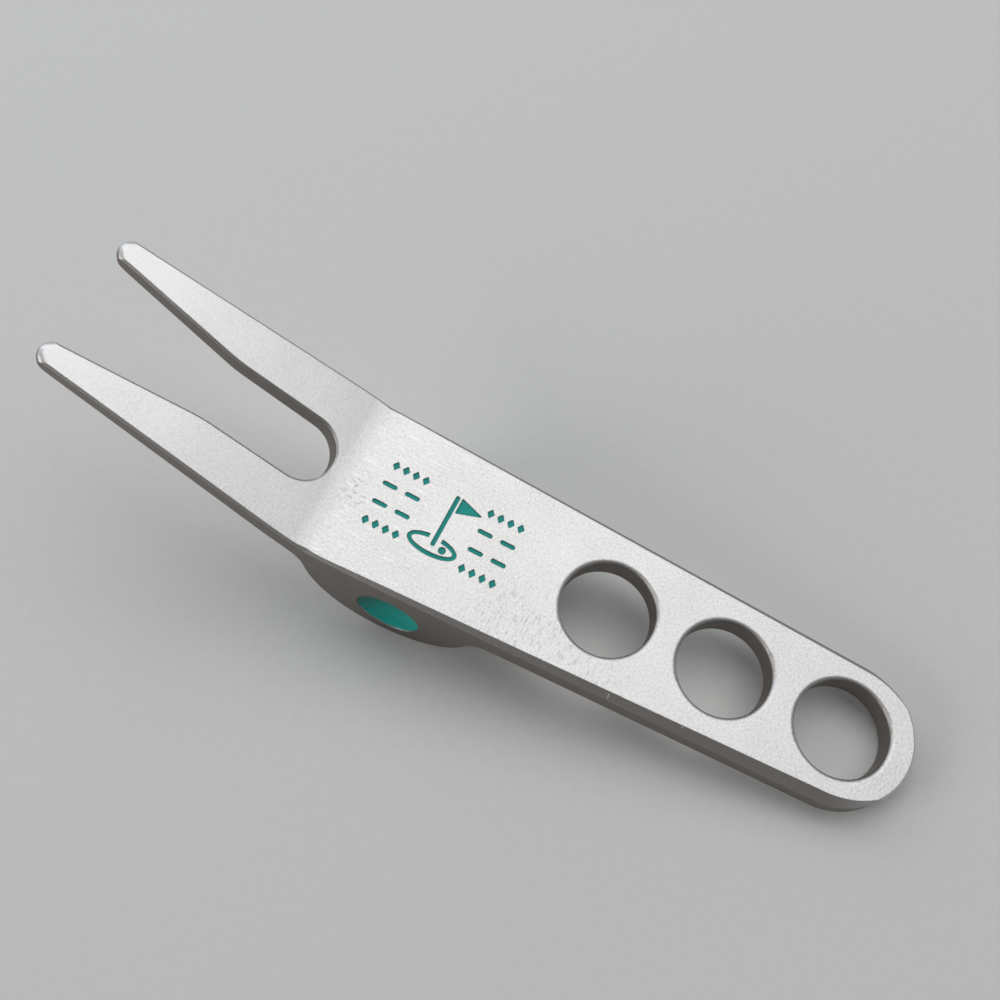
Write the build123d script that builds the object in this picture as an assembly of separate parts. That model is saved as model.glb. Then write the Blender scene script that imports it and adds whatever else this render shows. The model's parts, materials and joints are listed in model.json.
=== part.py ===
from build123d import *
from math import asin, atan2, cos, degrees, hypot, radians, sin, tan
import os

# Divot repair tool: a two-tined fork, a round fulcrum hump under its root and a flat handle with three
# finger holes, all milled from one aluminium bar. Teal enamel fills a small engraved golf mark on the top
# face and a round pocket in each side of the hump.
#
# The tool is drawn in the handle's own frame: X runs from the tail hole's centre towards the fork, Z = 0
# is the top face and the tool is symmetric about Y = 0. At the end every piece is tipped to the pose in
# which the tool lies on a table, on the lower edge of its tail and on the hump. The row frame has +X along
# the tool towards the fork tips and +Z up, with the origin under the middle of the tool's outline.

# ---- Handle ----
HOLE_RADIUS = 4.5
HOLE_PITCH = 11.83
HOLE_COUNT = 3
HANDLE_THICKNESS = 2.9
TAIL_HALF_WIDTH = 6.95
BEND_HALF_WIDTH = 8.42
BEND_X = 50.5
FLARE = radians(1.78)  # each side wall opens outwards by this much towards the bend
FLARE_BLEND = 200.0  # radius that eases the flared walls into the parallel stretch at the bend
HOLE_EDGE_ROUND = 0.45

# The top edge's chamfer is widest on both sides of the tail hole. It runs out round the tail's end and
# fades towards the bend, each time into the small edge break that goes on all round the tool.
TAIL_CHAMFER_WIDTH = 0.8
TAIL_CHAMFER_DEPTH = 1.16
TAIL_CHAMFER_REACH = 8.4  # half the length of the oval on which it leaves the round tail
EDGE_BREAK = 0.2

# ---- Fork ----
FORK_ANGLE = 20.0
FORK_LENGTH = 28.3
FORK_TAPER = radians(2.91)  # each outer edge closes in by this much towards the tips
TAPER_START = 2.5
TAPER_BLEND = 90.0
SLOT_HALF_WIDTH = 3.15
SLOT_ROUND_CENTRE = 5.1  # from the bend to the centre of the slot's round end
SLOT_STRAIGHT_END = 14.0  # where the inner edges start to open towards the tips
SLOT_BLEND = 14.0
TIP_HALF_GAP = 5.03
TIP_CORNER_RADIUS = 1.0
NOSE_ROUND = 0.62  # rounding of a tip's upper and lower edges
NOSE_LENGTH = 5.0  # half axes of the long oval along which that rounding runs out
NOSE_HALF_WIDTH = 2.3
NOSE_TRIM = 0.05  # what the oval takes off the end of the flat outline
TIP_THICKNESS = 1.55
ROOT_THICKNESS = 2.3
BEND_RADIUS = 9.0  # hollow of the top face where the fork leaves the handle

# ---- Fulcrum hump ----
HUMP_RADIUS = 8.65
HUMP_X = 42.2
HUMP_Z = -2.05
HUMP_HANDLE_FILLET = 2.4
HUMP_FORK_FILLET = 3.0

# ---- Enamel ----
POCKET_DEPTH = 0.25
PAINT_THICKNESS = 0.14
STROKE = 0.42
DOT_RADIUS = 3.2
DOT_X = 41.8
DOT_Z = -6.0
DOT_DEPTH = 0.9
DOT_PAINT_THICKNESS = 0.82
DOT_DISH_DEPTH = 0.7
DOT_RIM_WIDTH = 0.1

# ---- Engraved mark, centred on MARK_X and read from the fork towards the tail ----
MARK_X = 40.7
STICK_HEIGHT = 5.6
STICK_FOOT = -2.35
PENNANT_LENGTH = 2.5
PENNANT_HEIGHT = 1.7
GREEN_RADIUS_LONG = 2.5
GREEN_RADIUS_SHORT = 1.05
BALL_RADIUS = 0.36
BALL_X = 1.05
DIAMOND_WIDTH = 0.72
DIAMOND_HEIGHT = 1.0
DIAMOND_ROUND = 0.08  # radius that the engraving cutter leaves in sharp corners
DASH_LENGTH = 1.5
ROW_START = 3.05  # from the flagstick to where a row begins
ROW_END = 6.9
DIAMOND_COUNT = 4  # on each side of the flag
DASH_COUNT = 2
ROW_HEIGHTS = {"top_diamonds": 3.15, "upper_dashes": 1.1, "lower_dashes": -0.95, "bottom_diamonds": -3.0}

MARGIN = 5.0  # how far cutting solids run past the metal
TIP_HALF_WIDTH = BEND_HALF_WIDTH - (FORK_LENGTH - TAPER_START) * tan(FORK_TAPER)
FORK_DIRECTION = Vector(cos(radians(FORK_ANGLE)), 0, sin(radians(FORK_ANGLE)))
FORK_NORMAL = Vector(-sin(radians(FORK_ANGLE)), 0, cos(radians(FORK_ANGLE)))
FORK_PLANE = Plane(origin=(BEND_X, 0, 0), x_dir=FORK_DIRECTION, z_dir=FORK_NORMAL)
MITRE_PLANE = Plane((BEND_X, 0, 0)).rotated((0, -FORK_ANGLE / 2, 0))  # its YZ plane halves the bend


def fork_profile_point(along, depth):
    """Side-view point of the fork, measured from the bend along its top face and down into the metal."""
    point = Vector(BEND_X, 0, 0) + FORK_DIRECTION * along - FORK_NORMAL * depth
    return (point.X, point.Z)


def corners_near(sketch, x, reach=0.5):
    """Corners of a sketch whose X is within reach of x."""
    return [v for v in sketch.vertices() if abs(v.X - x) < reach]


def corner_at(sketch, point):
    """The corner of a side-view sketch that is closest to a point given as (x, z)."""
    return min(sketch.vertices(), key=lambda v: hypot(v.X - point[0], v.Y - point[1]))


def side_profile():
    """Side view of the whole tool: thin handle, round hump and raised fork."""
    inside_hump = HUMP_RADIUS / 2
    taper = (ROOT_THICKNESS - TIP_THICKNESS) / FORK_LENGTH
    past_tip = FORK_LENGTH + MARGIN
    root_bottom = fork_profile_point(-inside_hump, ROOT_THICKNESS + inside_hump * taper)
    bar = Polygon(
        (-TAIL_HALF_WIDTH - MARGIN, 0),
        (-TAIL_HALF_WIDTH - MARGIN, -HANDLE_THICKNESS),
        (HUMP_X, -HANDLE_THICKNESS),
        root_bottom,
        fork_profile_point(past_tip, TIP_THICKNESS - MARGIN * taper),
        fork_profile_point(past_tip, 0),
        (BEND_X, 0),
        align=None,
    )
    below_top = Pos(HUMP_X, -HUMP_RADIUS) * Rectangle(4 * HUMP_RADIUS, 2 * HUMP_RADIUS)
    profile = bar + (Pos(HUMP_X, HUMP_Z) * Circle(HUMP_RADIUS) & below_top)
    profile = fillet(corner_at(profile, (HUMP_X - HUMP_RADIUS, -HANDLE_THICKNESS)), HUMP_HANDLE_FILLET)
    profile = fillet(corner_at(profile, (HUMP_X + HUMP_RADIUS, HUMP_Z)), HUMP_FORK_FILLET)
    return fillet(corner_at(profile, (BEND_X, 0)), BEND_RADIUS)


def handle_outline():
    """Top view of the handle: round tail, flared walls and a short parallel stretch at the bend."""
    tangent_x = -TAIL_HALF_WIDTH * sin(FLARE)
    tangent_y = TAIL_HALF_WIDTH * cos(FLARE)
    knee_x = (BEND_HALF_WIDTH - TAIL_HALF_WIDTH / cos(FLARE)) / tan(FLARE)
    end_x = BEND_X + MARGIN
    walls = Polygon(
        (tangent_x, -tangent_y),
        (knee_x, -BEND_HALF_WIDTH),
        (end_x, -BEND_HALF_WIDTH),
        (end_x, BEND_HALF_WIDTH),
        (knee_x, BEND_HALF_WIDTH),
        (tangent_x, tangent_y),
        align=None,
    )
    outline = walls + Circle(TAIL_HALF_WIDTH)
    return fillet(corners_near(outline, knee_x), FLARE_BLEND)


def fork_outline():
    """The fork seen square to its top face: two tapering tines and the slot between them."""
    tip_x = FORK_LENGTH + NOSE_TRIM
    blade = Polygon(
        (-MARGIN, -BEND_HALF_WIDTH),
        (TAPER_START, -BEND_HALF_WIDTH),
        (tip_x, -TIP_HALF_WIDTH),
        (tip_x, TIP_HALF_WIDTH),
        (TAPER_START, BEND_HALF_WIDTH),
        (-MARGIN, BEND_HALF_WIDTH),
        align=None,
    )
    blade = fillet(corners_near(blade, TAPER_START), TAPER_BLEND)
    gap = Polygon(
        (SLOT_ROUND_CENTRE, -SLOT_HALF_WIDTH),
        (SLOT_STRAIGHT_END, -SLOT_HALF_WIDTH),
        (tip_x, -TIP_HALF_GAP),
        (tip_x + MARGIN, -TIP_HALF_GAP),
        (tip_x + MARGIN, TIP_HALF_GAP),
        (tip_x, TIP_HALF_GAP),
        (SLOT_STRAIGHT_END, SLOT_HALF_WIDTH),
        (SLOT_ROUND_CENTRE, SLOT_HALF_WIDTH),
        align=None,
    )
    gap = fillet(corners_near(gap, SLOT_STRAIGHT_END), SLOT_BLEND)
    gap += Pos(SLOT_ROUND_CENTRE, 0) * Circle(SLOT_HALF_WIDTH)
    tines = blade - gap
    return fillet(corners_near(tines, tip_x), TIP_CORNER_RADIUS)


def nose_cutter(blank):
    """Everything round the tips but two long ovals with rounded edges, each in line with its tine.

    The rounding is full at the nose and runs out along the tine's sides as the oval grows wider than it.
    """
    slot_opening = atan2(TIP_HALF_GAP - SLOT_HALF_WIDTH, FORK_LENGTH - SLOT_STRAIGHT_END)
    toe_out = degrees(slot_opening - FORK_TAPER) / 2
    tip = Pos(FORK_LENGTH, (TIP_HALF_GAP + TIP_HALF_WIDTH) / 2) * Rot(0, 0, toe_out)
    oval = FORK_PLANE * tip * Pos(-NOSE_LENGTH, 0) * Ellipse(NOSE_LENGTH, NOSE_HALF_WIDTH)
    nose = blank & extrude(oval, amount=2 * MARGIN, both=True)
    nose = fillet([e for e in nose.edges() if e.geom_type != GeomType.LINE], NOSE_ROUND)
    reach = NOSE_LENGTH - NOSE_ROUND
    round_tips = FORK_PLANE * Pos(FORK_LENGTH, 0, 0) * Box(2 * reach, 4 * BEND_HALF_WIDTH, 4 * MARGIN)
    return round_tips - nose - mirror(nose, Plane.XZ)


def chamfer_section(x, half_width, width, depth):
    """Triangle across the handle at x that holds the corner which the chamfer takes away."""
    overrun = 1.0
    top = (half_width - width * (1 + overrun), depth * overrun)
    foot = (half_width + width * overrun, -depth * (1 + overrun))
    outside = (half_width + MARGIN, MARGIN)
    return Plane.YZ.offset(x) * Polygon(top, foot, outside, align=None)


def chamfer_cutter():
    """Everything outside the top edge's chamfer: a long wedge on each side and an oval one at the tail."""
    tail = chamfer_section(0, TAIL_HALF_WIDTH, TAIL_CHAMFER_WIDTH, TAIL_CHAMFER_DEPTH)
    bend = chamfer_section(BEND_X, BEND_HALF_WIDTH, EDGE_BREAK, EDGE_BREAK)
    side = loft([tail, bend], ruled=True) + extrude(bend, amount=MARGIN)
    run_out = scale(revolve(tail, Axis.Z, 180), by=(TAIL_CHAMFER_REACH / TAIL_HALF_WIDTH, 1, 1))
    tail_break = revolve(chamfer_section(0, TAIL_HALF_WIDTH, EDGE_BREAK, EDGE_BREAK), Axis.Z, 180)
    return side + mirror(side, Plane.XZ) + run_out + tail_break


def dot_plane(side):
    """Plane on the hump's side wall at the enamel dot, facing outwards; side is 1 or -1."""
    wall_y = TAIL_HALF_WIDTH / cos(FLARE) + DOT_X * tan(FLARE)
    facing = (-sin(FLARE), side * cos(FLARE), 0)
    return Plane(origin=(DOT_X, side * wall_y, DOT_Z), x_dir=(side * cos(FLARE), sin(FLARE), 0), z_dir=facing)


def dot_pocket(side):
    """Flat-bottomed round pocket for one enamel dot."""
    start = Pos(0, 0, -DOT_DEPTH) * Circle(DOT_RADIUS)
    return dot_plane(side) * extrude(start, amount=DOT_DEPTH + MARGIN)


def dot_paint(side):
    """Enamel in one side pocket: it has dried into a shallow dish, high at the rim."""
    fill = extrude(Circle(DOT_RADIUS), amount=DOT_PAINT_THICKNESS)
    dish_edge = DOT_RADIUS - DOT_RIM_WIDTH
    dish_radius = (dish_edge**2 + DOT_DISH_DEPTH**2) / (2 * DOT_DISH_DEPTH)
    dish_top = DOT_PAINT_THICKNESS - DOT_DISH_DEPTH + dish_radius
    fill -= Pos(0, 0, dish_top) * Sphere(dish_radius)
    return dot_plane(side) * Pos(0, 0, -DOT_DEPTH) * fill


def diamond():
    """One engraved lozenge."""
    half_width = DIAMOND_WIDTH / 2
    half_height = DIAMOND_HEIGHT / 2
    outline = Polygon((half_width, 0), (0, half_height), (-half_width, 0), (0, -half_height), align=None)
    return fillet(outline.vertices(), DIAMOND_ROUND)


def row(stroke, length, count, height):
    """Equal strokes that fill the row on both sides of the flag."""
    first = ROW_START + length / 2
    pitch = (ROW_END - ROW_START - length) / (count - 1)
    places = [side * (first + i * pitch) for side in (-1, 1) for i in range(count)]
    return Sketch() + [Pos(place, height) * stroke for place in places]


def mark_sketches():
    """The engraved golf mark, stroke by stroke, on a flat sheet: name to sketch."""
    half = STROKE / 2
    foot = STICK_FOOT
    peak = STICK_FOOT + STICK_HEIGHT
    green = Ellipse(GREEN_RADIUS_LONG, GREEN_RADIUS_SHORT)
    green -= Ellipse(GREEN_RADIUS_LONG - STROKE, GREEN_RADIUS_SHORT - STROKE)
    green -= Pos(0, GREEN_RADIUS_SHORT) * Rectangle(3 * STROKE, GREEN_RADIUS_SHORT)
    stick = Pos(0, foot + STICK_HEIGHT / 2) * SlotOverall(STICK_HEIGHT, STROKE, rotation=90)
    pennant_base = half + STROKE / 2
    pennant = Polygon(
        (pennant_base, peak),
        (pennant_base, peak - PENNANT_HEIGHT),
        (pennant_base + PENNANT_LENGTH, peak - PENNANT_HEIGHT / 2),
        align=None,
    )
    sketches = {
        "flagstick_paint": stick,
        "pennant_paint": fillet(pennant.vertices(), DIAMOND_ROUND),
        "putting_green_paint": Pos(0, foot) * green,
        "ball_paint": Pos(BALL_X, foot) * Circle(BALL_RADIUS),
    }
    for name, height in ROW_HEIGHTS.items():
        if name.endswith("diamonds"):
            strokes = row(diamond(), DIAMOND_WIDTH, DIAMOND_COUNT, height)
        else:
            strokes = row(SlotOverall(DASH_LENGTH, STROKE), DASH_LENGTH, DASH_COUNT, height)
        sketches[f"{name}_paint"] = strokes
    return sketches


def mark_solids(bottom, top):
    """The mark's strokes as solids between two heights below the top face."""
    sheet = Plane(origin=(MARK_X, 0, bottom), x_dir=(-1, 0, 0), z_dir=(0, 0, 1))
    return {name: extrude(sheet * sketch, amount=top - bottom) for name, sketch in mark_sketches().items()}


def milled_body():
    """The aluminium body, with its holes and with pockets for the enamel."""
    half_width = BEND_HALF_WIDTH + MARGIN
    blank = extrude(Plane.XZ * side_profile(), amount=half_width, both=True)

    reach = 2 * (HUMP_RADIUS + MARGIN)
    behind_bend = MITRE_PLANE * Pos(-BEND_X, 0, 0) * Box(2 * BEND_X, 2 * half_width, 2 * reach)
    handle = blank & extrude(handle_outline(), amount=reach, both=True) & behind_bend
    handle -= chamfer_cutter()
    below_break = FORK_PLANE * Pos(0, 0, -EDGE_BREAK) * fork_outline()
    fork = extrude(below_break, amount=-reach) + extrude(below_break, amount=2 * EDGE_BREAK, taper=45)
    fork = (blank & fork - behind_bend) - nose_cutter(blank)
    body = handle + fork

    for number in range(HOLE_COUNT):
        body -= Pos(number * HOLE_PITCH, 0, 0) * Cylinder(HOLE_RADIUS, 2 * reach)
    hole_edges = body.edges().filter_by(GeomType.CIRCLE)
    hole_edges = [e for e in hole_edges if abs(e.radius - HOLE_RADIUS) < 0.01]
    body = fillet(hole_edges, HOLE_EDGE_ROUND)

    for pocket in mark_solids(-POCKET_DEPTH, MARGIN).values():
        body -= pocket
    for side in (1, -1):
        body -= dot_pocket(side)
    return body


def resting_tilt():
    """Angle between the handle and the table when the tail's lower edge and the hump both touch it."""
    to_hump_x = HUMP_X + TAIL_HALF_WIDTH
    to_hump_z = HUMP_Z + HANDLE_THICKNESS
    return degrees(asin(HUMP_RADIUS / hypot(to_hump_x, to_hump_z)) - atan2(to_hump_z, to_hump_x))


nodes = {"milled_body": milled_body()}
nodes.update(mark_solids(-POCKET_DEPTH, PAINT_THICKNESS - POCKET_DEPTH))
nodes["side_dot_paint_left"] = dot_paint(1)
nodes["side_dot_paint_right"] = dot_paint(-1)

tilt = resting_tilt()
tipped = Rot(0, -tilt, 0)
box = (tipped * nodes["milled_body"]).bounding_box()
place = Pos(-box.center().X, -box.center().Y, -box.min.Z) * tipped

os.makedirs("parts", exist_ok=True)
for name, shape in nodes.items():
    export_step(place * shape, f"parts/{name}.step")
print(f"tilt {tilt:.2f} degrees, size {box.size.X:.1f} x {box.size.Y:.1f} x {box.size.Z:.1f} mm")
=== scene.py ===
# %% [markdown]
# # A divot repair tool in blasted aluminium
# A golfer pushes the two tines into the turf beside a ball's dent, rocks the tool on its round hump and
# lifts the dent out. The tool is one piece: milled from bar, blasted with fine glass beads until it is
# satin, and then filled with teal enamel in a small engraved mark and in a round pocket on each side.
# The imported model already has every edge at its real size, so it comes first and stays as it is. This
# script gives it its finishes, a pale floor, soft light and a camera.

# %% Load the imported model
import json
from math import atan2, cos, degrees, radians, sin

import bmesh
import bpy
from mathutils import Matrix, Vector

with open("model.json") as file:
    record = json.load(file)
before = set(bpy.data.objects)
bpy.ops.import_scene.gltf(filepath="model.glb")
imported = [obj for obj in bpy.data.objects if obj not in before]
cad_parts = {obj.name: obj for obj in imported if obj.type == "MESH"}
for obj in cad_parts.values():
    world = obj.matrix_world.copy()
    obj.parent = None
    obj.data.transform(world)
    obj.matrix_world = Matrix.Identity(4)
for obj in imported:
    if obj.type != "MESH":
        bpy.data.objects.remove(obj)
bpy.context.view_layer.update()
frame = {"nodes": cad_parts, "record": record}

print("pieces:", ", ".join(sorted(frame["nodes"])))

# %% [markdown]
# ## Where the handle is
# The tool rests tipped, on the lower edge of its tail and on its hump. Its marks of making and of use
# follow the handle, not the table: milling runs along it, scuffs run across it. So the patterns are
# drawn in the handle's own millimetres, from the tail hole's centre: x towards the fork, y across and
# z up from the top face. The record gives that hole's place and direction, and how long its straight
# wall is. The rounded edge at each end of the wall makes up the rest of the handle's thickness. The other
# way would be to unwrap the mesh, but every seam would cut through the grain.

# %% Handle frame from the tail hole
MM = 0.001
HOLE_EDGE_ROUND = 0.45
TAIL_HOLE = next(m for m in frame["record"]["mounts"] if m["name"] == "tail_hole")
HANDLE_UP = Vector(TAIL_HOLE["axis"])
HALF_THICKNESS = TAIL_HOLE["dims"]["length_mm"] / 2 + HOLE_EDGE_ROUND
HANDLE_ORIGIN = Vector(TAIL_HOLE["pos_m"]) + HANDLE_UP * HALF_THICKNESS * MM
HANDLE_TILT = atan2(-HANDLE_UP.x, HANDLE_UP.z)
FORK_RISE = radians(20)
FORK_UP = Vector((-sin(HANDLE_TILT + FORK_RISE), 0, cos(HANDLE_TILT + FORK_RISE)))
print("handle leans by", round(degrees(HANDLE_TILT), 2), "degrees")
print("handle thickness in mm:", round(HALF_THICKNESS * 2, 2))

# %% [markdown]
# ## Writing a finish as sums
# A finish is a recipe of patterns: so much grain, plus some scuffs, less where an edge is worn. Nodes can
# be wired by hand one at a time, but the sums get lost in the wiring. Here a small class wraps a node's
# output, so that `grain * 0.3 + scuffs` adds the Math nodes itself.

# %% A pattern that takes part in sums


class Pattern:
    """A value that changes over the surface: one output socket of one node."""

    def __init__(self, finish, socket):
        self.finish = finish
        self.socket = socket

    def sum_with(self, operation, first, second):
        return self.finish.node("ShaderNodeMath", {"operation": operation}, {0: first, 1: second})

    def __add__(self, other):
        return self.sum_with("ADD", self, other)

    def __radd__(self, other):
        return self.sum_with("ADD", other, self)

    def __sub__(self, other):
        return self.sum_with("SUBTRACT", self, other)

    def __rsub__(self, other):
        return self.sum_with("SUBTRACT", other, self)

    def __mul__(self, other):
        return self.sum_with("MULTIPLY", self, other)

    def __rmul__(self, other):
        return self.sum_with("MULTIPLY", other, self)

    def __abs__(self):
        return self.finish.node("ShaderNodeMath", {"operation": "ABSOLUTE"}, {0: self})


# %% [markdown]
# ## A finish
# Every finish here is one glossy shader with patterns on its colour, roughness and relief. What is the
# same all over, such as how metallic the surface is, is set straight on the shader. One method makes any
# node: its settings go in first, because some of them change which sockets it has, and then its sockets
# are filled. Another gives the object's coordinates as seen from a tipped frame, in millimetres.

# %% The finish class


class Finish:
    """A material under construction."""

    def __init__(self, name):
        self.material = bpy.data.materials.new(name)
        self.material.use_nodes = True
        self.tree = self.material.node_tree
        self.shader = self.tree.nodes["Principled BSDF"]

    def node(self, kind, settings=None, inputs=None, output=0):
        """Adds any node: settings first, then socket values or links. Returns one of its outputs."""
        made = self.tree.nodes.new(kind)
        for setting, value in (settings or {}).items():
            setattr(made, setting, value)
        for socket, value in (inputs or {}).items():
            self.fill(made.inputs[socket], value)
        return Pattern(self, made.outputs[output])

    def fill(self, socket, value):
        """Links a pattern to a socket, or sets a plain value on it."""
        if isinstance(value, Pattern):
            self.tree.links.new(value.socket, socket)
        else:
            socket.default_value = value

    def paint(self, **patterns):
        """Fills the shader's sockets, which are named with a _ for each space."""
        for socket, value in patterns.items():
            self.fill(self.shader.inputs[socket.replace("_", " ")], value)

    def place(self, origin=(0, 0, 0), turn=0.0):
        """Millimetres on the object, from an origin and turned about the y axis."""
        seen = self.node("ShaderNodeTexCoord", output="Object")
        settings = {"vector_type": "TEXTURE"}
        inputs = {"Vector": seen, "Location": origin, "Rotation": (0, -turn, 0), "Scale": (MM,) * 3}
        return self.node("ShaderNodeMapping", settings, inputs)


# %% [markdown]
# ## Blasted aluminium: the grain
# Glass beads leave dimples about a fifth of a millimetre wide that overlap all over. That is the grain,
# and it makes the metal nearly as white as paper under a broad light. A cell pattern gives the dimples
# and a fine noise gives the speckle between them. Modelling every dimple would take millions of faces,
# so they are relief in the finish.

# %% Coordinates and noise


def split(vector):
    """The x, y and z of a vector as three patterns."""
    x = vector.finish.node("ShaderNodeSeparateXYZ", inputs={"Vector": vector}, output="X")
    return [Pattern(vector.finish, x.socket.node.outputs[axis]) for axis in "XYZ"]


def noise(where, scale, detail=2.0, roughness=0.5):
    """Soft clouds from 0 to 1, as many to the millimetre as scale says."""
    inputs = {"Vector": where, "Scale": scale, "Detail": detail, "Roughness": roughness}
    return where.finish.node("ShaderNodeTexNoise", {}, inputs, "Fac")


# %% Grain
metal = Finish("blasted_aluminium_satin")
on_handle = metal.place(HANDLE_ORIGIN, HANDLE_TILT)
along, across, _ = split(on_handle)

DIMPLES_PER_MM = 5.5
SPECKLE_PER_MM = 4.2
CLOUDS_PER_MM = 0.16
dimples = metal.node(
    "ShaderNodeTexVoronoi",
    {"feature": "F1"},
    {"Vector": on_handle, "Scale": DIMPLES_PER_MM, "Randomness": 1.0},
    "Distance",
)
speckle = noise(on_handle, SPECKLE_PER_MM, detail=3.0, roughness=0.7)
clouds = noise(on_handle, CLOUDS_PER_MM)
print("dimples about", round(1 / DIMPLES_PER_MM, 2), "mm wide")

# %% [markdown]
# ## Blasted aluminium: marks of milling
# The last passes of the cutter still show faintly under the blasting, as long streaks that end at the
# bend. Where the cutter turned into the bend it left a patch of small dark flecks. Both are noise on
# stretched coordinates. A fade turns a noise or a distance into a soft edge, two fades that are
# multiplied give a zone with two soft ends, and a fade of the distance from a centre gives a spot. Zones
# and centres are in millimetres from the tail hole's centre.

# %% Zones, spots and streaky noise


def fade(value, start, end, low=0.0, high=1.0):
    """Goes smoothly from low to high as value goes from start to end."""
    inputs = {"Value": value, "From Min": start, "From Max": end, "To Min": low, "To Max": high}
    return value.finish.node("ShaderNodeMapRange", {"interpolation_type": "SMOOTHSTEP"}, inputs)


def between(value, start, full, ebb, end):
    """1 from full to ebb, with soft ends that reach 0 at start and at end."""
    return fade(value, start, full) * fade(value, ebb, end, 1.0, 0.0)


def spot(where, centre, half_sizes):
    """A soft spot: 1 in its middle fifth, 0 from its rim outwards."""
    settings = {"vector_type": "TEXTURE"}
    inputs = {"Vector": where, "Location": centre, "Scale": half_sizes}
    inside = where.finish.node("ShaderNodeMapping", settings, inputs)
    reach = where.finish.node("ShaderNodeVectorMath", {"operation": "LENGTH"}, {0: inside}, "Value")
    return fade(reach, 0.2, 1.0, 1.0, 0.0)


def streaky_noise(where, per_mm, detail=2.0):
    """Noise with its own number of clouds to the millimetre along each axis."""
    inputs = {"Vector": where, "Scale": per_mm}
    stretched = where.finish.node("ShaderNodeMapping", {"vector_type": "POINT"}, inputs)
    return noise(stretched, 1.0, detail)


# %% Streaks and flecks of the cutter
STREAK_ZONE = (36.0, 48.0, 49.8, 51.0)
STREAKS_PER_MM = (0.35, 4.5, 1.0)
STREAKS_SHOW = (0.52, 0.78)
passes = streaky_noise(on_handle, STREAKS_PER_MM)
streaks = fade(passes, *STREAKS_SHOW) * between(along, *STREAK_ZONE)

CHATTER_CENTRE = (49.3, 0.8, 0.0)
CHATTER_HALF_SIZES = (2.2, 3.4, 2.0)
CHATTER_PER_MM = (1.6, 3.2, 1.0)
CHATTER_SHOWS = (0.55, 0.68)
chatter = streaky_noise(on_handle, CHATTER_PER_MM)
at_bend = spot(on_handle, CHATTER_CENTRE, CHATTER_HALF_SIZES)
bend_flecks = fade(chatter, *CHATTER_SHOWS) * at_bend
print("streaks from", STREAK_ZONE[0], "to", STREAK_ZONE[-1], "mm from the tail hole")

# %% [markdown]
# ## Blasted aluminium: marks of use
# Short scuffs cross the handle between the mark and the second hole, on the side where it is held. Small
# dull flecks are scattered over the handle. The near chamfer has two bright nicks, one like a scratch and
# one like a dot. The tines are a little polished by the turf. Each mark is kept as a pattern of its own,
# because the colour, the roughness and the relief all need it.

# %% Scuffs, flecks, nicks and polish
SCUFF_ZONE = (17.0, 24.0, 33.0, 38.0)
SCUFF_SIDE = (-3.0, 5.0)
SCUFFS_PER_MM = (4.6, 0.9, 1.0)
SCUFFS_SHOW = (0.54, 0.70)
scratches = streaky_noise(on_handle, SCUFFS_PER_MM, detail=3.0)
scuffs = fade(scratches, *SCUFFS_SHOW) * between(along, *SCUFF_ZONE) * fade(across, *SCUFF_SIDE)

FLECKS_PER_MM = 2.3
FLECKS_SHOW = (0.66, 0.76)
flecks = fade(noise(on_handle, FLECKS_PER_MM, detail=1.0), *FLECKS_SHOW)

SCRATCH_CENTRE = (20.4, 7.35, -0.45)
SCRATCH_HALF_SIZES = (0.10, 0.5, 0.5)
SCRATCH_STRENGTH = 0.6
CHIP_CENTRE = (13.35, 6.82, -0.14)
CHIP_HALF_SIZES = (0.15, 0.15, 0.15)
nicks = spot(on_handle, SCRATCH_CENTRE, SCRATCH_HALF_SIZES) * SCRATCH_STRENGTH
nicks += spot(on_handle, CHIP_CENTRE, CHIP_HALF_SIZES)

HANDLE_ENDS = (49.0, 53.0)
POLISH_GROWS = (60.0, 76.0)
on_the_handle = fade(along, *HANDLE_ENDS, 1.0, 0.0)
polished_tines = fade(along, *POLISH_GROWS)
print("scuffs from", SCUFF_ZONE[0], "to", SCUFF_ZONE[-1], "mm from the tail hole")

# %% [markdown]
# ## Blasted aluminium: top faces and walls
# The walls and the chamfer get a dark, slightly warm colour of painted shade, which stands in for the
# shadowed floor that they mirror. Two materials would need the mesh's faces sorted by hand, but the
# surface's own direction already tells the two apart: it faces straight out of the handle or the fork
# only on the top and the underside.

# %% Which way the surface faces


def squareness(finish, direction):
    """How squarely the surface faces a direction or its opposite, from 0 to 1."""
    normal = finish.node("ShaderNodeTexCoord", output="Normal")
    inputs = {0: normal, 1: direction}
    return abs(finish.node("ShaderNodeVectorMath", {"operation": "DOT_PRODUCT"}, inputs, "Value"))


to_either_top = {0: squareness(metal, HANDLE_UP), 1: squareness(metal, FORK_UP)}
flatness = metal.node("ShaderNodeMath", {"operation": "MAXIMUM"}, to_either_top)
WALLS_TO_TOP = (0.40, 0.97)
# painted shade: this mask is 1 on the walls and the chamfer, where the colour is darkened to stand in for
# shade
shaded_walls = fade(flatness, *WALLS_TO_TOP, 1.0, 0.0)
print("the fork's top face is", round(degrees(HANDLE_TILT + FORK_RISE), 1), "degrees from level")

# %% [markdown]
# ## Blasted aluminium: colour
# The metal goes from bright to dull with the grain and the marks: flecks and scuffs dull it, streaks and
# polish brighten it. The numbers below are how far each one moves it, where 1 is from bright to dull. A
# colour can't go through the Math nodes, which would turn it grey, so a Mix node blends it.

# %% A colour between two colours


def blend(share, first, second):
    """The first colour where share is 0 and the second where it is 1."""
    finish = share.finish
    mix = finish.node("ShaderNodeMix", {"data_type": "RGBA"}, {"Factor": share}).socket.node
    colours = {"A": first, "B": second}
    for socket in mix.inputs:
        if socket.type == "RGBA" and socket.name in colours:
            finish.fill(socket, colours[socket.name])
    return Pattern(finish, next(s for s in mix.outputs if s.type == "RGBA"))


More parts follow.
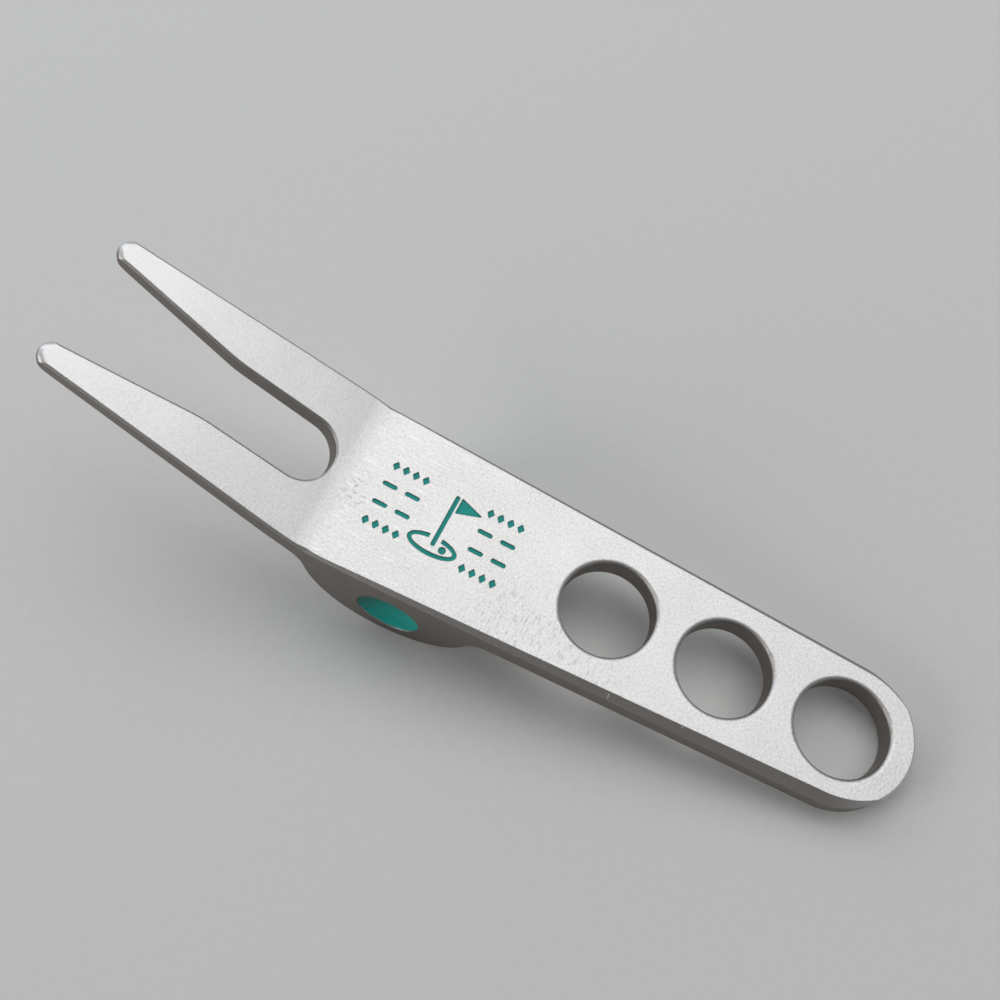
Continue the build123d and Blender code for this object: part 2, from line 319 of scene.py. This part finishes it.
# %% Colour of the aluminium
BRIGHT_METAL = (0.86, 0.855, 0.85, 1)
DULL_METAL = (0.56, 0.552, 0.54, 1)
# painted shade: the dark colour that the walls and the chamfer take
SHADED_WALL_METAL = (0.25, 0.222, 0.20, 1)
NOISE_MIDDLE = 0.5
USUAL_DULLNESS = 0.27
FORK_GRAIN = 0.6
EXTRA_HANDLE_GRAIN = 0.9
CLOUDS_DULL = 0.4
FLECKS_DULL = 0.35
BEND_FLECKS_DULL = 0.7
SCUFFS_DULL = 0.7
STREAKS_BRIGHTEN = 0.5
POLISH_BRIGHTENS = 0.32
NICKS_BARE = 0.8
grain = (speckle - NOISE_MIDDLE) * (on_the_handle * EXTRA_HANDLE_GRAIN + FORK_GRAIN)
marks = (
    flecks * on_the_handle * FLECKS_DULL
    + bend_flecks * BEND_FLECKS_DULL
    + scuffs * SCUFFS_DULL
    - streaks * STREAKS_BRIGHTEN
    - polished_tines * POLISH_BRIGHTENS
)
dullness = grain + (clouds - NOISE_MIDDLE) * CLOUDS_DULL + marks
top_colour = blend(dullness + USUAL_DULLNESS, BRIGHT_METAL, DULL_METAL)
# painted shade: the walls and the chamfer are blended towards the dark wall colour; the nicks stay bright
# metal
metal.paint(Base_Color=blend(shaded_walls - nicks * NICKS_BARE, top_colour, SHADED_WALL_METAL), Metallic=1.0)
print("colour of the aluminium takes", len(metal.tree.nodes), "nodes")

# %% [markdown]
# ## Blasted aluminium: roughness and relief
# Metal that was rubbed is smoother, and scuffs, flecks and nicks lie a little lower than the grain around
# them, so the same marks return here. A bevel shader rounds the sharpest edges by a tenth of a
# millimetre, as the beads do. It changes only how light falls on them, and the milled shape stays. Depths
# are in millimetres, and the numbers under them are shares of that depth.

# %% Bumps


def relief(height, depth, below=None):
    """Bumps of the given depth in millimetres, on top of any relief below."""
    inputs = {"Height": height, "Distance": depth * MM, "Strength": 1.0}
    if below is not None:
        inputs["Normal"] = below
    return height.finish.node("ShaderNodeBump", {}, inputs, "Normal")


# %% Relief of the aluminium
EDGE_SOFTNESS = 0.12
CLOUD_DEPTH = 0.012
GRAIN_DEPTH = 0.014
DIMPLE_HEIGHT = 0.6
SPECKLE_HEIGHT = 0.7
EXTRA_HANDLE_RELIEF = 0.25
SCUFFS_SINK = 0.9
BEND_FLECKS_SINK = 0.8
NICKS_SINK = 4.0
STREAKS_RISE = 0.6
soft_edges = metal.node("ShaderNodeBevel", {"samples": 6}, {"Radius": EDGE_SOFTNESS * MM}, "Normal")
coarse_relief = relief(clouds, CLOUD_DEPTH, soft_edges)
bead_marks = dimples * DIMPLE_HEIGHT + speckle * SPECKLE_HEIGHT
bead_marks *= on_the_handle * EXTRA_HANDLE_RELIEF + 1.0
dents = (
    scuffs * SCUFFS_SINK
    + bend_flecks * BEND_FLECKS_SINK
    + nicks * NICKS_SINK
    - streaks * STREAKS_RISE
)
metal.paint(Normal=relief(bead_marks - dents, GRAIN_DEPTH, coarse_relief))
print("relief of the grain is up to", GRAIN_DEPTH, "mm")

# %% Roughness of the aluminium
BLASTED_ROUGHNESS = 0.47
SPECKLE_ROUGHENS = 0.08
STREAKS_SMOOTH = 0.05
SCUFFS_SMOOTH = 0.06
NICKS_SMOOTH = 0.2
roughness = (
    BLASTED_ROUGHNESS
    + speckle * SPECKLE_ROUGHENS
    - streaks * STREAKS_SMOOTH
    - scuffs * SCUFFS_SMOOTH
    - nicks * NICKS_SMOOTH
)
metal.paint(Roughness=roughness)
print(metal.material.name, "takes", len(metal.tree.nodes), "nodes")

# %% [markdown]
# ## Teal enamel
# Enamel is run into the pockets and dries hard. It is glossy, a little uneven in thickness, and so a
# little darker and lighter in clouds, with fine dust nibs. On the side dots the colour is painted darker
# towards the fork and towards the top of the dot: painted shade, where the dished dot falls into shade.
# The strokes of the mark are too narrow to show a skin of their own, so they share one recipe with the
# dots. The height on the tool tells the two apart.

# %% Film of the enamel
POOLS_PER_MM = 0.8
NIBS_PER_MM = 6.0
enamel = Finish("teal_enamel_gloss")
on_enamel = enamel.place(HANDLE_ORIGIN, HANDLE_TILT)
pooling = noise(on_enamel, POOLS_PER_MM)
nibs = noise(on_enamel, NIBS_PER_MM)

# painted shade: a soft mask that grows towards the fork and the top of each side dot, below the mark
SIDE_DOT_BELOW = (-1.0, -2.5)
DOT_SHADE_GROWS = (18.6, 22.8)
forward, _, height = split(on_enamel)
FORWARD_SHARE, UP_SHARE = 0.6, 0.8
forward_and_up = forward * FORWARD_SHARE + height * UP_SHARE
dot_painted_shade = fade(forward_and_up, *DOT_SHADE_GROWS) * fade(height, *SIDE_DOT_BELOW)
print("enamel of the side dots thickens over", round(DOT_SHADE_GROWS[1] - DOT_SHADE_GROWS[0], 1), "mm")

# %% Colour, roughness and relief of the enamel
DEEP_TEAL = (0.001, 0.27, 0.225, 1)
LIGHT_TEAL = (0.004, 0.48, 0.42, 1)
# painted shade: the dark teal that the side dots take towards the fork and the top
SHADED_TEAL = (0.0005, 0.13, 0.108, 1)
POOLING_LIGHTENS = 0.8
NIBS_LIGHTEN = 0.3
DOT_SHADE_SHARE = 0.9
ENAMEL_ROUGHNESS = 0.34
POOLING_ROUGHENS = 0.12
NIBS_ROUGHEN = 0.08
NIB_HEIGHT = 0.5
ENAMEL_DEPTH = 0.008
thin_film = blend(pooling * POOLING_LIGHTENS + nibs * NIBS_LIGHTEN, DEEP_TEAL, LIGHT_TEAL)
enamel.paint(
    # painted shade: the side dots' colour is blended towards the dark, shaded teal
    Base_Color=blend(dot_painted_shade * DOT_SHADE_SHARE, thin_film, SHADED_TEAL),
    Roughness=ENAMEL_ROUGHNESS + pooling * POOLING_ROUGHENS + nibs * NIBS_ROUGHEN,
    Normal=relief(nibs * NIB_HEIGHT + pooling, ENAMEL_DEPTH),
    Specular_IOR_Level=0.25,
)
print(enamel.material.name, "takes", len(enamel.tree.nodes), "nodes")

# %% [markdown]
# ## Which piece wears what
# The real tool has one solid piece of metal, and everything else on it is enamel in a pocket. Each piece
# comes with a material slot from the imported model, so the finish goes into that slot and the mesh stays
# as it is.

# %% Give each piece its finish
for name, node in frame["nodes"].items():
    finish = metal if name == "milled_body" else enamel
    for slot in node.material_slots:
        slot.material = finish.material
    print(name, "wears", finish.material.name)

# %% [markdown]
# ## The floor
# The tool rests on a matte, pale studio board. One large square is enough, because all that it shows is
# a soft shadow and a faint paper grain. Its colour matters to the metal too: the walls of the tool mirror
# it.

# %% Pale floor
FLOOR_REACH = 1.5
FIBRES_PER_MM = 1.2
FIBRE_DEPTH = 0.020
PAPER_SHADE = (0.74, 0.737, 0.73, 1)
PAPER_WHITE = (0.80, 0.796, 0.788, 1)
paper = Finish("pale_matte_board")
fibres = noise(paper.place(), FIBRES_PER_MM, detail=4.0, roughness=0.6)
paper.paint(
    Base_Color=blend(fibres, PAPER_SHADE, PAPER_WHITE),
    Normal=relief(fibres, FIBRE_DEPTH),
    Roughness=0.85,
    Specular_IOR_Level=0.2,
)

board = bmesh.new()
bmesh.ops.create_grid(board, x_segments=1, y_segments=1, size=FLOOR_REACH)
floor = bpy.data.objects.new("pale_floor", bpy.data.meshes.new("pale_floor"))
board.to_mesh(floor.data)
board.free()
floor.data.materials.append(paper.material)
bpy.context.scene.collection.objects.link(floor)
print("floor is", FLOOR_REACH * 2, "m square")

# %% [markdown]
# ## Light
# One very large softbox hangs high over the side away from the camera, where the top faces mirror it.
# That turns blasted metal white while its near walls stay dark, darker still with the painted shade in
# their colour. A small one stands low beyond the fork, on the camera's side. It picks out the chamfer
# near the bend and the side dot. A third, slightly blue, lights the rounded noses of the tines. Bare
# lamps would be simpler, but the edges would mirror them as hard points.

# %% Softboxes
SOFTBOX_DISTANCE = 0.60


def softbox(name, azimuth, elevation, width, height, power, colour):
    """A rectangular lamp that faces the tool. Azimuth 0 is +X and 90 is +Y."""
    lamp = bpy.data.lights.new(name, "AREA")
    lamp.shape = "RECTANGLE"
    lamp.size = width
    lamp.size_y = height
    lamp.energy = power
    lamp.color = colour
    placed = bpy.data.objects.new(name, lamp)
    around = radians(azimuth)
    up = radians(elevation)
    towards = Vector((cos(up) * cos(around), cos(up) * sin(around), sin(up)))
    placed.location = towards * SOFTBOX_DISTANCE
    placed.rotation_euler = (-placed.location).to_track_quat("-Z", "Y").to_euler()
    bpy.context.scene.collection.objects.link(placed)
    print(name, "at", [round(v, 2) for v in placed.location])


softbox("key_softbox", -106, 66, width=0.85, height=0.50, power=2.05, colour=(1.0, 0.995, 0.99))
softbox("side_fill", 42, 22, width=0.30, height=0.30, power=1.0, colour=(1.0, 0.98, 0.96))
softbox("tip_fill", -27, 30, width=0.35, height=0.35, power=0.6, colour=(0.84, 0.91, 1.0))

# %% [markdown]
# ## Room light
# Without any light from the room, what faces no softbox would be black. A weak, slightly blue world gives
# the walls and the shadow a little even light from all round, as the ceiling of a studio does.

# %% Room light
ROOM_COLOUR = (0.9, 0.95, 1.0, 1)
ROOM_STRENGTH = 0.12
room = bpy.data.worlds.new("studio_room")
room.use_nodes = True
room_light = room.node_tree.nodes["Background"].inputs
room_light["Color"].default_value = ROOM_COLOUR
room_light["Strength"].default_value = ROOM_STRENGTH
bpy.context.scene.world = room
bpy.context.scene.view_settings.view_transform = "Standard"
print("room light strength:", ROOM_STRENGTH)

# %% [markdown]
# ## Camera
# It looks down at the tool from the side of the left-hand dot, with the tail towards the lower right. It
# is aimed from the tail hole, so it follows the tool if its box changes. A real lens this close would
# blur the tips, but here everything is in focus, so that each detail can be judged.

# %% Camera
TAIL_TO_AIM = Vector((37.126, -5.704, 4.032))
AIM = HANDLE_ORIGIN + TAIL_TO_AIM * MM
VIEW_AROUND = radians(206.16)
VIEW_DOWN = radians(62.82)
VIEW_DISTANCE = 0.1102
VIEW_ROLL = radians(-0.57)
LENS = 41.4
SENSOR_WIDTH = 36.0
NEAREST_SEEN = 0.005
sideways = cos(VIEW_DOWN)
back = Vector((sin(VIEW_AROUND) * sideways, -cos(VIEW_AROUND) * sideways, sin(VIEW_DOWN)))
camera = bpy.data.objects.new("camera", bpy.data.cameras.new("camera"))
camera.data.lens = LENS
camera.data.sensor_width = SENSOR_WIDTH
camera.data.clip_start = NEAREST_SEEN
camera.location = AIM + back * VIEW_DISTANCE
facing = (-back).to_track_quat("-Z", "Y").to_matrix()
camera.rotation_euler = (facing @ Matrix.Rotation(VIEW_ROLL, 3, "Z")).to_euler()
bpy.context.scene.collection.objects.link(camera)
bpy.context.scene.camera = camera
print("camera at", [round(v, 4) for v in camera.location])
